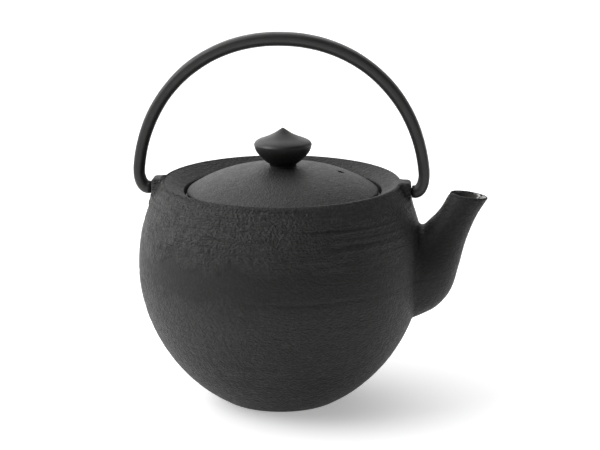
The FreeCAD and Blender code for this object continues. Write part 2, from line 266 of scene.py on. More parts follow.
def body_field(points):
    """Distance outside the casting: ball, spout and lugs, less the hollow and the pin holes."""
    x, y, z = points.T
    r = np.hypot(x, y)
    ball = blend_in(side_field(r, z), -z, 1.2)
    ball = blend_in(ball, z - RIM_CREST, RIM_ROUND)
    near = (x > 56) & (np.abs(y) < 34)
    solid = ball.copy()
    bore = np.full(len(x), FAR)
    if near.any():
        outside, hole, past = tube.fields(x[near], y[near], z[near])
        outside = blend_in(outside, past, 0.5)
        least, most = SPOUT_FILLET
        fillet = least + (most - least) * np.clip((z[near] - 60) / 26, 0, 1)
        solid[near] = blend_join(ball[near], outside, fillet)
        bore[near] = np.where(x[near] > 60, hole, FAR)
    solid = blend_join(solid, lug_field(x, y, z), 1.8)
    dish, opening, throat, cavity = hollow_fields(x, y, z)
    hollow = blend_in(-dish, -opening, 0.5)
    hollow = blend_in(hollow, -throat, 0.6)
    hollow = blend_in(hollow, -cavity, 0.8)
    hollow = blend_in(hollow, -bore, 0.8)
    solid = blend_in(solid, hollow, 0.45)
    hole = np.hypot(y, z - PIVOT_Z) - PIN_RADIUS - PIN_CLEARANCE
    hole = np.maximum(hole, PIN_HOLE_END_X - np.abs(x))
    return blend_in(solid, -hole, 0.25)


# ---------------------------------------------------------------- meshes from fields


def surface_net(turns, radii, heights, place, field):
    """Points and quads where field is 0, on a grid of turns by radii by heights."""
    radii, heights = np.asarray(radii, float), np.asarray(heights, float)
    shape = (turns, len(radii), len(heights))
    values = np.empty(shape, np.float32)
    r, z = (g.ravel() for g in np.meshgrid(radii, heights, indexing="ij"))
    for i in range(turns):
        values[i] = field(place(np.full(len(r), 2 * math.pi * i / turns), r, z)).reshape(shape[1:])
    inside = values < 0

    def corner(array, di, dj, dk):
        moved = np.roll(array, -di, axis=0) if di else array
        return moved[:, dj : dj + shape[1] - 1, dk : dk + shape[2] - 1]

    corners = [(di, dj, dk) for di in (0, 1) for dj in (0, 1) for dk in (0, 1)]
    count = sum(corner(inside, *c).astype(np.uint8) for c in corners)
    active = (count > 0) & (count < 8)
    index = np.full(active.shape, -1, np.int32)
    index[active] = np.arange(active.sum())
    cell = np.stack(np.nonzero(active), 1)
    at = {c: values[(cell[:, 0] + c[0]) % turns, cell[:, 1] + c[1], cell[:, 2] + c[2]] for c in corners}
    total = np.zeros((len(cell), 3))
    hits = np.zeros(len(cell))
    for c in corners:
        for axis in range(3):
            if c[axis]:
                continue
            d = tuple(v + (k == axis) for k, v in enumerate(c))
            crossed = (at[c] < 0) != (at[d] < 0)
            share = at[c] / np.where(crossed, at[c] - at[d], 1)
            where = np.tile(np.array(c, float), (len(cell), 1))
            where[:, axis] += share
            total[crossed] += where[crossed]
            hits += crossed
    spot = cell + total / hits[:, None]
    points = place(
        spot[:, 0] * 2 * math.pi / turns,
        np.interp(spot[:, 1], np.arange(len(radii)), radii),
        np.interp(spot[:, 2], np.arange(len(heights)), heights),
    )
    faces = []
    back = np.roll(index, 1, axis=0)
    turn = inside[:, 1:-1, 1:-1] != np.roll(inside, -1, axis=0)[:, 1:-1, 1:-1]
    ring = [index[:, :-1, :-1], index[:, 1:, :-1], index[:, 1:, 1:], index[:, :-1, 1:]]
    faces.append(oriented(ring, turn, inside[:, 1:-1, 1:-1]))
    out = inside[:, :-1, 1:-1] != inside[:, 1:, 1:-1]
    ring = [back[:, :, :-1], back[:, :, 1:], index[:, :, 1:], index[:, :, :-1]]
    faces.append(oriented(ring, out, inside[:, :-1, 1:-1]))
    up = inside[:, 1:-1, :-1] != inside[:, 1:-1, 1:]
    ring = [back[:, :-1, :], index[:, :-1, :], index[:, 1:, :], back[:, 1:, :]]
    faces.append(oriented(ring, up, inside[:, 1:-1, :-1]))
    centre = []
    for k in range(len(heights) - 1):
        if (inside[:, 0, k] != inside[:, 0, k + 1]).all():
            centre.append((index[:, 0, k], bool(inside[0, 0, k])))
    return points, np.vstack(faces), centre


def oriented(ring, crossed, inside):
    """The quads of the crossed edges, turned to face out of the solid."""
    quads = np.stack([r[crossed] for r in ring], 1)
    flip = ~inside[crossed]
    quads[flip] = quads[flip][:, ::-1]
    return quads


def close_centre(points, ring, solid_below):
    """Triangles that close a flat ring of points round the axis, halving the count at each step."""
    radius = np.hypot(*points[ring][:, :2].T).mean()
    height = points[ring][:, 2].mean()
    triangles = []
    steps = int(math.log2(len(ring))) - 3
    for step in range(1, steps + 1):
        count = len(ring) // 2
        angle = np.arctan2(*points[ring[::2]][:, :2].T[::-1])
        r = radius * (1 - step / (steps + 1))
        new = np.stack([r * np.cos(angle), r * np.sin(angle), np.full(count, height)], 1)
        inner = len(points) + np.arange(count)
        points = np.vstack([points, new])
        a, b, c = ring[::2], ring[1::2], np.roll(ring[::2], -1)
        nxt = np.roll(inner, -1)
        for tri in ((inner, a, b), (inner, b, nxt), (nxt, b, c)):
            triangles.append(np.stack(tri, 1))
        ring = inner
    points = np.vstack([points, [[0, 0, height]]])
    middle = np.full(len(ring), len(points) - 1)
    triangles.append(np.stack([middle, ring, np.roll(ring, -1)], 1))
    triangles = np.vstack(triangles)
    if not solid_below:
        triangles = triangles[:, ::-1]
    return points, triangles


def slope(field, points, step=0.04):
    """The field's gradient."""
    out = np.empty_like(points)
    for k in range(3):
        move = np.zeros(3)
        move[k] = step
        out[:, k] = (field(points + move) - field(points - move)) / (2 * step)
    return out


def settle(field, points, rounds, most):
    """Moves points onto the surface where field is 0."""
    for _ in range(rounds):
        g = slope(field, points)
        size = np.maximum((g * g).sum(1), 0.05)
        move = -field(points)[:, None] * g / size[:, None]
        length = np.linalg.norm(move, axis=1, keepdims=True)
        points = points + move * np.minimum(1, most / np.maximum(length, 1e-9))
    return points


def relax(points, quads, share):
    """Each point moves part of the way to the middle of its neighbours."""
    total = np.zeros_like(points)
    count = np.zeros(len(points))
    for k in range(quads.shape[1]):
        a, b = quads[:, k], quads[:, (k + 1) % quads.shape[1]]
        for p, q in ((a, b), (b, a)):
            for axis in range(3):
                total[:, axis] += np.bincount(p, points[q, axis], len(points))
            count += np.bincount(p, minlength=len(points))
    joined = count > 0
    out = points.copy()
    out[joined] += share * (total[joined] / count[joined, None] - points[joined])
    return out


def spaced(*stops):
    """Grid lines from stop to stop: a number, then (step, next number) pairs."""
    lines = [stops[0]]
    for step, end in stops[1:]:
        count = max(1, round((end - lines[-1]) / step))
        lines += list(np.linspace(lines[-1], end, count + 1)[1:])
    return np.array(lines)


# ---------------------------------------------------------------- noise


def dice(ix, iy, iz, seed):
    """A repeatable number from -1 to 1 for each whole-number point."""
    h = (ix * 73856093) ^ (iy * 19349663) ^ (iz * 83492791) ^ (seed * 40503)
    h = h & 0xFFFFFFFF
    h = ((h ^ (h >> 13)) * 1274126177) & 0xFFFFFFFF
    h = ((h ^ (h >> 16)) * 668265263) & 0xFFFFFFFF
    h = h ^ (h >> 15)
    return (h & 0xFFFFFF) / 0x7FFFFF - 1


def noise(points, size, seed=0):
    """Smooth noise from about -1 to 1. size is the lump size in mm, one number or one for each axis."""
    p = points / np.asarray(size, float)
    base = np.floor(p).astype(np.int64)
    f = p - base
    w = f * f * f * (f * (f * 6 - 15) + 10)
    out = np.zeros(len(points))
    for di in (0, 1):
        for dj in (0, 1):
            for dk in (0, 1):
                part = np.ones(len(points))
                for axis, d in enumerate((di, dj, dk)):
                    part = part * (w[:, axis] if d else 1 - w[:, axis])
                out += part * dice(base[:, 0] + di, base[:, 1] + dj, base[:, 2] + dk, seed)
    return out


def layered(points, size, seed, layers=3):
    """Noise with finer layers on top."""
    return sum(noise(points, np.asarray(size) / 2**k, seed + 17 * k) / 2**k for k in range(layers)) / 1.75


# ---------------------------------------------------------------- making objects


def new_object(name, points, *groups, kinds=None):
    """A smooth-shaded object. Each group is an array of faces with one number of corners."""
    groups = [np.asarray(g, np.int32) for g in groups if len(g)]
    corners = np.concatenate([g.ravel() for g in groups])
    sizes = np.concatenate([np.full(len(g), g.shape[1], np.int32) for g in groups])
    starts = np.concatenate([[0], np.cumsum(sizes)[:-1]]).astype(np.int32)
    mesh = bpy.data.meshes.new(name)
    mesh.vertices.add(len(points))
    mesh.vertices.foreach_set("co", (np.asarray(points, np.float32) * MM).ravel())
    mesh.loops.add(len(corners))
    mesh.loops.foreach_set("vertex_index", corners)
    mesh.polygons.add(len(sizes))
    mesh.polygons.foreach_set("loop_start", starts)
    if kinds is not None:
        mesh.polygons.foreach_set("material_index", np.asarray(kinds, np.int32))
    mesh.update(calc_edges=True)
    mesh.shade_smooth()
    obj = bpy.data.objects.new(name, mesh)
    bpy.context.scene.collection.objects.link(obj)
    return obj


def put(obj, body, slot, *nodes):
    """Hands a finished piece to the frame."""
    if nodes:
        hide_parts(*nodes)
    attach(obj, body)
    return obj


def normals_of(points, quads):
    """The mean normal at each point."""
    a, b, c, d = (points[quads[:, k]] for k in range(4))
    across = np.cross(c - a, d - b)
    out = np.zeros_like(points)
    for k in range(4):
        for axis in range(3):
            out[:, axis] += np.bincount(quads[:, k], across[:, axis], len(points))
    return out / np.maximum(np.linalg.norm(out, axis=1, keepdims=True), 1e-12)


def tube_faces(rings, around, closed=False):
    """Quads of a tube of rings, each with the same number of points round it."""
    index = np.arange(rings * around).reshape(rings, around)
    if closed:
        index = np.vstack([index, index[:1]])
    a, b = index[:-1], index[1:]
    quads = np.stack([a, np.roll(a, -1, 1), np.roll(b, -1, 1), b], -1)
    return quads.reshape(-1, 4)


def lathe(profile, around, centre_x=0.0):
    """Points and quads of a (radius, height) outline turned round the vertical axis at centre_x."""
    profile = np.asarray(profile, float)
    angle = np.linspace(0, 2 * math.pi, around, endpoint=False)
    r, z = profile[:, :1], profile[:, 1:]
    points = np.stack([centre_x + r * np.cos(angle), r * np.sin(angle), z + 0 * angle], -1).reshape(-1, 3)
    return points, tube_faces(len(profile), around)


def fine_line(points, step):
    """A smooth line through points, with a point about every step."""
    rows = smooth_rows(points, 24)
    length = np.concatenate([[0], np.cumsum(np.linalg.norm(np.diff(rows, axis=0), axis=1))])
    at = np.linspace(0, length[-1], max(2, round(length[-1] / step) + 1))
    return np.stack([np.interp(at, length, rows[:, k]) for k in range(rows.shape[1])], 1)


def straight_line(points, step):
    """Straight runs through points, with a point about every step and one on each corner."""
    out = [np.asarray(points[:1], float)]
    for a, b in zip(np.asarray(points, float), np.asarray(points[1:], float)):
        count = max(1, round(np.linalg.norm(b - a) / step))
        out.append(a + (b - a) * (np.arange(1, count + 1) / count)[:, None])
    return np.vstack(out)


def make_body():
    """The casting's points, quads and centre triangles."""
    shift_full, shift_none = 50.0, 57.0

    def place(angle, r, z):
        share = np.clip((shift_none - r) / (shift_none - shift_full), 0, 1) * np.clip((z - 97) / 3, 0, 1)
        return np.stack([r * np.cos(angle) + OPENING_X * share, r * np.sin(angle), z], 1)

    radii = spaced(7.0, (1.3, 26.0), (0.6, 30.0), (1.2, 43.0), (0.5, 60.0), (0.8, 104.0))
    heights = spaced(-1.0, (0.5, 6.0), (0.9, 84.0), (0.6, 99.0), (0.42, 113.2))
    points, quads, centre = surface_net(BODY_TURNS, radii, heights, place, body_field)
    caps = []
    for ring, below in centre:
        points, found = close_centre(points, ring, below)
        caps.append(found)
    for _ in range(2):
        points = relax(points, quads, 0.35)
        points = settle(body_field, points, 2, 0.6)
    return points, quads, np.vstack(caps)


def inner_skin(points):
    """Whether points lie on the enamelled inside of the pot or of the spout."""
    x, y, z = points.T
    cavity = hollow_fields(x, y, z)[-1]
    near = (x > 64) & (np.abs(y) < 20)
    bore = np.full(len(x), FAR)
    bore[near] = tube.fields(x[near], y[near], z[near])[1]
    narrow = np.hypot(x - OPENING_X, y) < THROAT_RADIUS + 0.3
    throat = (z > THROAT_BOTTOM - 5) & (z < LEDGE_Z - 0.4) & narrow
    return (cavity < 0.6) | (bore < 0.45) | throat


def cast_texture(points, outer):
    """Casting lumps, turned lines and the mould's parting ridge, as heights along the normals."""
    x, y, z = points.T
    high = np.clip((z - 82) / 10, 0, 1) * np.clip((LUG_TOP + 1 - z) / 3, 0, 1)
    lit_left_side = np.clip(0.52 - 0.60 * x / BODY_RADIUS - 0.25 * y / BODY_RADIUS, 0.10, 1)
    low = np.clip((62 - z) / 10, 0, 1) * np.clip((z - 8) / 14, 0, 1)
    patch = np.clip(0.5 + 0.9 * noise(points, 30, 5), 0.15, 1)
    past_side = np.hypot(x, y) - side_radius(z)
    plain = 1 - 0.85 * np.clip((past_side - 0.6) / 2, 0, 1) - 0.9 * np.clip(-past_side - 0.6, 0, 1)
    height = 0.10 * noise(points, 22, 1)
    height += layered(points, 2.8, 2) * (0.03 + plain * (0.24 * high * lit_left_side + 0.09 * low))
    angle = np.arctan2(y, x) * BODY_RADIUS
    turned = np.stack([angle, np.zeros(len(z)), z], 1)
    height += 2.0 * layered(turned, (55, 1, 2.4), 3, 2) * (high + 0.12 * low) * patch * lit_left_side * plain
    height += 0.020 * noise(points, (3.0, 3.0, 26), 4) * np.clip(1 - np.abs(z - 66) / 18, 0, 1)
    ridge = np.exp(-(((z - EQUATOR_Z + 1.1) / 0.75) ** 2)) * (np.hypot(x, y) > BODY_RADIUS - 3)
    height += 0.4 * ridge * (0.6 + 0.4 * noise(points, 9, 6)) * (0.3 + 0.7 * plain)
    flat = np.clip((z - 0.6) / 1.5, 0, 1)
    edge = np.clip((LUG_TOP - 1.2 - z) / 1.5, 0.25, 1)
    return height * outer * flat * edge


def build_body():
    points, quads, caps = make_body()
    normals = normals_of(points, quads)
    inside = inner_skin(points)
    points = points + normals * (cast_texture(points, ~inside))[:, None]
    kinds = np.concatenate([inside[quads].all(1), inside[caps].all(1)])
    obj = new_object("teapot_casting", points, quads, caps, kinds=kinds)
    return put(obj, "pot", "body_iron", "teapot_body")


# ---------------------------------------------------------------- lid and knob


LID_RADIUS = round((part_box("lid")[1].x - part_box("lid")[0].x) / 2 / MM, 2)
LID_X = round((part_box("lid")[1].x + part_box("lid")[0].x) / 2 / MM, 2)
LID_TOP = round(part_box("knob")[0].z / MM, 2)
DOME_POWER = 2.75
LID_EDGE_Z = 107.1
LID_THICKNESS = 3.1
LID_LAND = 3.6
FLANGE_TOP = round(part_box("lid")[0].z / MM, 2)
SEAT_RADIUS = 7.6
VENT_OFFSET = (28.6, 2.5)
VENT_RADIUS = 1.6
LID_HOLE_RADIUS = 1.95
BOSS_RADIUS = 6.5
BOSS_BOTTOM = 112.6

KNOB_CAP = (
    (0.0, 138.5), (1.5, 137.6), (4.3, 135.7), (7.9, 133.9), (11.7, 132.4), (13.5, 131.4), (14.1, 130.55),
)
KNOB_RIM = ((14.22, 130.3), (14.27, 130.05), (14.22, 129.8))
KNOB_BOWL = (
    (14.15, 129.5), (13.8, 128.1), (12.8, 126.1), (11.2, 124.2), (9.1, 122.1), (7.2, 120.7), (6.7, 120.0),
)
KNOB_FOOT = ((6.7, 120.0), (6.6, 119.6), (6.7, 119.25), (6.9, 119.0))


def dome_field(r, z, top):
    """Distance above the lid's dome that peaks at top."""
    drop = LID_TOP - LID_EDGE_Z
    fall = drop * (r / LID_RADIUS) ** DOME_POWER
    steep = DOME_POWER * drop / LID_RADIUS * (r / LID_RADIUS) ** (DOME_POWER - 1)
    return (z - top + fall) / np.sqrt(1 + steep**2)


def lid_field(points):
    """Distance outside the lid, whose own axis is at x = 0 here."""
    x, y, z = points.T
    r = np.hypot(x, y)
    seat = np.maximum(r - SEAT_RADIUS, z - LID_TOP)
    over = np.minimum(dome_field(r, z, LID_TOP), seat)
    outside = blend_in(over, r - LID_RADIUS, 0.8)
    outside = blend_in(outside, FLANGE_TOP - z, 0.3)
    boss = np.maximum(r - BOSS_RADIUS, BOSS_BOTTOM - z)
    under = np.maximum(dome_field(r, z, LID_TOP - LID_THICKNESS), -boss)
    hollow = blend_in(under, r - (LID_RADIUS - LID_LAND) - 0.4 * (FLANGE_TOP - z), 0.8)
    solid = blend_in(outside, -hollow, 0.4)
    solid = blend_in(solid, LID_HOLE_RADIUS - r, 0.2)
    vent = np.hypot(x - VENT_OFFSET[0], y - VENT_OFFSET[1]) - VENT_RADIUS
    return blend_in(solid, -vent, 0.15)


def build_lid():
    def place(angle, r, z):
        return np.stack([r * np.cos(angle), r * np.sin(angle), z], 1)

    radii = spaced(1.6, (0.35, 9.0), (0.75, 26.2), (0.3, 31.2), (0.75, 42.0), (0.4, 49.0))
    heights = spaced(103.0, (0.42, 120.2))
    points, quads, _ = surface_net(LID_TURNS, radii, heights, place, lid_field)
    for _ in range(2):
        points = relax(points, quads, 0.3)
        points = settle(lid_field, points, 2, 0.4)
    normals = normals_of(points, quads)
    x, y, z = points.T
    height = 0.10 * noise(points, 17, 21) + 0.022 * layered(points, 2.6, 22)
    height *= np.clip((z - FLANGE_TOP) / 2, 0, 1)
    points = points + normals * height[:, None] + np.array([LID_X, 0, 0])
    return put(new_object("lid_casting", points, quads), "lid", "lid_iron", "lid")


def build_knob():
    cap = fine_line(KNOB_CAP, 0.45)
    rim = fine_line(KNOB_RIM, 0.2)
    bowl = fine_line(KNOB_BOWL, 0.45)
    foot = fine_line(KNOB_FOOT, 0.3)
    hole = [(6.9, LID_TOP), (2.0, LID_TOP), (1.85, LID_TOP + 0.2), (1.85, 126.0), (0.02, 126.8)]
    hole = straight_line(hole, 0.9)
    outline = np.vstack([cap[1:], rim, bowl, foot[1:], hole])
    around = 160
    points, quads = lathe(outline, around, LID_X)
    quads = quads[:, ::-1]
    normals = normals_of(points, quads)
    height = 0.05 * noise(points, 8, 31) + 0.012 * layered(points, 1.8, 32)
    height *= (points[:, 2] > LID_TOP + 0.3) & (np.hypot(points[:, 0] - LID_X, points[:, 1]) > 2.5)
    points = points + normals * height[:, None]
    tip = len(points)
    points = np.vstack([points, [[LID_X, 0, KNOB_CAP[0][1]]]])
    first = np.arange(around)
    fan = np.stack([np.full(around, tip), first, np.roll(first, -1)], 1)
    return put(new_object("knob_casting", points, quads, fan), "lid", "knob_iron", "knob")


# ---------------------------------------------------------------- handle


ARCH_BASE_Z = 108.1
ARCH_HALF_SPAN = 71.25
ARCH_HEIGHT = 74.25
ARCH_POWER = 2.1
ARCH_TOP_SECTION = (6.8, 8.6)
ARCH_FOOT_SECTION = (5.6, 7.0)
ARCH_FLATNESS = 3.4
FOOT_START_X = 66.5
FOOT_BEND = (4.4, 8.5)
STUB_RADIUS = 3.25
STUB_FACE_X = LUG_FACE_X + 0.4
PIN_END_X = 59.6
# The unevenness stops this far in from the stubs, so the top of the arch is plain.
PLAIN_TOP = 30
# Rows of points along one foot's bend and along half of the arch.
BEND_ROWS = 25
ARCH_ROWS = 170


def handle_rows():
    """Rows of x, z, outward x, outward z, thickness, width and flatness, from one pin to the arch's top."""
    rows = []
    pin = [(PIN_END_X, 0.5), (PIN_END_X + 0.1, 1.3), (PIN_END_X + 0.5, 1.9), (PIN_END_X + 1.0, PIN_RADIUS)]
    stub = [(-0.2, PIN_RADIUS), (0.0, PIN_RADIUS + 0.1), (0.03, STUB_RADIUS - 0.5), (0.2, STUB_RADIUS - 0.15)]
    for x, r in pin + [(STUB_FACE_X + x, r) for x, r in stub]:
        rows.append((x, PIVOT_Z, 0, -1, 2 * r, 2 * r, 2.0))
    thick, wide = ARCH_FOOT_SECTION
    for part in np.linspace(0, 1, BEND_ROWS):
        angle = math.pi / 2 * part
        x = FOOT_START_X + FOOT_BEND[0] * math.sin(angle)
        z = PIVOT_Z + FOOT_BEND[1] * (1 - math.cos(angle))
        mix = part * part * (3 - 2 * part)
        size = STUB_RADIUS * 2 * (1 - mix) + thick * mix
        breadth = STUB_RADIUS * 2 * (1 - mix) + wide * mix
        across, down = math.sin(angle) / FOOT_BEND[0], math.cos(angle) / FOOT_BEND[1]
        length = math.hypot(across, down)
        rows.append((x, z, across / length, -down / length, size, breadth, 2 + (ARCH_FLATNESS - 2) * mix))
    rise = PIVOT_Z + FOOT_BEND[1] + 1.5 - ARCH_BASE_Z
    start = math.asin((rise / ARCH_HEIGHT) ** (ARCH_POWER / 2))
    for angle in np.linspace(start, math.pi / 2, ARCH_ROWS):
        part = math.sin(angle)
        x = ARCH_HALF_SPAN * max(math.cos(angle), 0) ** (2 / ARCH_POWER)
        z = ARCH_BASE_Z + ARCH_HEIGHT * math.sin(angle) ** (2 / ARCH_POWER)
        across = (x / ARCH_HALF_SPAN) ** (ARCH_POWER - 1) / ARCH_HALF_SPAN
        up = ((z - ARCH_BASE_Z) / ARCH_HEIGHT) ** (ARCH_POWER - 1) / ARCH_HEIGHT
        length = math.hypot(across, up)
        size = thick + (ARCH_TOP_SECTION[0] - thick) * part
        breadth = wide + (ARCH_TOP_SECTION[1] - wide) * part
        rows.append((x, z, across / length, up / length, size, breadth, ARCH_FLATNESS))
    return rows


def build_handle():
    half = np.array(handle_rows())
    other = half[-2::-1] * np.array([-1, 1, -1, 1, 1, 1, 1])
    rows = np.vstack([half, other])
    around = 48
    turn = np.linspace(0, 2 * math.pi, around, endpoint=False)
    c, s = np.cos(turn)[None], np.sin(turn)[None]
    x, z, ox, oz, thick, wide, flat = (rows[:, k : k + 1] for k in range(7))
    power = np.where(c > 0, 2 / flat, 1.0)
    out = np.sign(c) * np.abs(c) ** power * thick / 2
    across = np.sign(s) * np.abs(s) ** power * wide / 2
    points = np.stack([x + ox * out, across + 0 * x, z + oz * out], -1).reshape(-1, 3)
    quads = tube_faces(len(rows), around)
    normals = normals_of(points, quads)
    outward = points - np.repeat(np.concatenate([x, 0 * x, z], 1), around, 0)
    if (normals * outward).sum() < 0:
        quads, normals = quads[:, ::-1], -normals
    height = 0.07 * noise(points, 13, 41) + 0.015 * layered(points, 2.4, 42)
    height *= np.abs(points[:, 0]) > STUB_FACE_X - PLAIN_TOP
    height *= ~((np.abs(points[:, 0]) < STUB_FACE_X + 0.1) & (points[:, 2] < PIVOT_Z + 5))
    points = points + normals * height[:, None]
    ends = []
    for ring in (np.arange(around), np.arange(around) + (len(rows) - 1) * around):
        middle = len(points)
        points = np.vstack([points, points[ring].mean(0)])
        fan = np.stack([np.full(around, middle), ring, np.roll(ring, -1)], 1)
        face = np.cross(points[fan[0, 1]] - points[middle], points[fan[0, 2]] - points[middle])
        away = points[middle] - np.array([0, 0, PIVOT_Z])
        ends.append(fan if face @ -away > 0 else fan[:, ::-1])
    return put(new_object("bail_handle", points, quads, *ends), "handle", "handle_iron", "handle")


# ---------------------------------------------------------------- strainer


SHEET = 0.5
FLANGE_RADIUS = 48.6
COLLAR_RADIUS = 43.6
COLLAR_BOTTOM = 96.6
BASKET_RADII = (37.5, 37.5, 43.0, 43.0)
BASKET_HEIGHTS = (73.9, 78.5, 96.0, 103.3)
PAN_BOTTOM = 73.3
PAN_TOP = 78.0
PAN_RADIUS = 37.6 + SHEET
WIRE = 0.17
AROUND_STRAINER = 192


def wires(lines, closed, around=4):
    """Thin round wires along many lines that all have the same number of points."""
    lines = np.asarray(lines, float)
    ahead = (np.roll(lines, -1, 1) - np.roll(lines, 1, 1)) if closed else np.gradient(lines, axis=1)
    ahead /= np.linalg.norm(ahead, axis=2, keepdims=True)
    side = np.cross(ahead, np.array([0.13, 0.21, 0.97]))
    short = np.linalg.norm(side, axis=2, keepdims=True) < 0.35
    side = np.where(short, np.cross(ahead, np.array([0.97, 0.2, 0.1])), side)
    side /= np.linalg.norm(side, axis=2, keepdims=True)
    up = np.cross(side, ahead)
    turn = np.linspace(0, 2 * math.pi, around, endpoint=False)
    ring = side[:, :, None] * np.cos(turn)[:, None] + up[:, :, None] * np.sin(turn)[:, None]
    points = (lines[:, :, None] + WIRE * ring).reshape(-1, 3)
    faces = tube_faces(lines.shape[1], around, closed)
    step = lines.shape[1] * around
    quads = (faces[None] + step * np.arange(len(lines))[:, None, None]).reshape(-1, 4)
    return points, quads[:, ::-1]


def build_strainer_rim():
    """Flange with a rolled edge, and the collar that runs down from it, all one sheet."""
    top, low = FLANGE_TOP, FLANGE_TOP - SHEET
    inner, edge = COLLAR_RADIUS - SHEET, FLANGE_RADIUS
    outer, foot = COLLAR_RADIUS, COLLAR_BOTTOM
    outline = [(inner, foot + 0.1), (inner, top - 0.7), (inner + 0.15, top - 0.25), (inner + 0.6, top)]
    outline += [(edge - 0.25, top), (edge, top - 0.12), (edge, low + 0.12), (edge - 0.25, low)]
    outline += [(outer + 0.35, low), (outer, low - 0.35), (outer, foot + 0.1)]
    outline += [(outer - 0.1, foot), (inner + 0.1, foot), (inner, foot + 0.1)]
    points, _ = lathe(outline[:-1], AROUND_STRAINER, LID_X)
    quads = tube_faces(len(outline) - 1, AROUND_STRAINER, closed=True)[:, ::-1]
    return put(new_object("strainer_flange", points, quads), "strainer", "strainer_steel", "strainer_rim")


def build_strainer_mesh():
    """The basket's side, woven from upright wires and rings."""
    uprights, rings = 188, 21
    heights = np.linspace(BASKET_HEIGHTS[0] + 0.3, BASKET_HEIGHTS[-1] - 0.3, rings)
    radii = np.interp(heights, BASKET_HEIGHTS, BASKET_RADII) - SHEET / 2
    angle = np.linspace(0, 2 * math.pi, uprights, endpoint=False)
    over = np.where((np.arange(uprights)[:, None] + np.arange(rings)[None]) % 2, 1, -1) * WIRE * 0.5

    def at(offset):
        r = radii[None] + offset
        x, y = LID_X + r * np.cos(angle)[:, None], r * np.sin(angle)[:, None]
        return np.stack([x, y, heights[None] + 0 * r], -1)

    points, quads = wires(at(over), closed=False)
    more, faces = wires(at(-over).transpose(1, 0, 2), closed=True)
    points, quads = np.vstack([points, more]), np.vstack([quads, faces + len(points)])
    return put(new_object("strainer_weave", points, quads), "strainer", "strainer_steel", "strainer_mesh")


def build_strainer_base():
    """A hem round the basket's foot that holds a woven floor."""
    outer, inner = PAN_RADIUS, PAN_RADIUS - SHEET
    outline = [(inner, PAN_TOP - 0.1), (inner + 0.1, PAN_TOP), (outer - 0.1, PAN_TOP), (outer, PAN_TOP - 0.1)]
    outline += [(outer, PAN_BOTTOM + 0.9), (outer - 0.3, PAN_BOTTOM + 0.3), (outer - 0.9, PAN_BOTTOM)]
    outline += [(outer - 3.4, PAN_BOTTOM), (outer - 3.5, PAN_BOTTOM + 0.1), (outer - 3.5, PAN_BOTTOM + SHEET)]
    outline += [(outer - 1.2, PAN_BOTTOM + SHEET), (inner - 0.2, PAN_BOTTOM + 0.8), (inner, PAN_BOTTOM + 1.1)]
    points, _ = lathe(outline, AROUND_STRAINER, LID_X)
    quads = tube_faces(len(outline), AROUND_STRAINER, closed=True)[:, ::-1]
    if (normals_of(points, quads)[: AROUND_STRAINER * 2, 2]).sum() < 0:
        quads = quads[:, ::-1]
    reach_out, count = PAN_RADIUS - 2.2, 49
    lanes = np.linspace(-reach_out + 0.6, reach_out - 0.6, count)
    half = np.sqrt(reach_out**2 - lanes**2)
    steps = np.linspace(-1, 1, count)
    over = np.where((np.arange(count)[:, None] + np.arange(count)[None]) % 2, 1, -1) * WIRE * 0.5
    z = PAN_BOTTOM + SHEET / 2
    along = half[:, None] * steps[None]
    for swap, sign in ((False, 1), (True, -1)):
        a, b = along, lanes[:, None] + 0 * along
        x, y = (b, a) if swap else (a, b)
        more, faces = wires(np.stack([LID_X + x, y, z + sign * over], -1), closed=False)
        quads = np.vstack([quads, faces + len(points)])
        points = np.vstack([points, more])
    return put(new_object("strainer_pan", points, quads), "strainer", "strainer_steel", "strainer_base")


body = build_body()
lid = build_lid()
knob = build_knob()
handle = build_handle()
strainer = [build_strainer_rim(), build_strainer_mesh(), build_strainer_base()]


# ---------------------------------------------------------------- materials


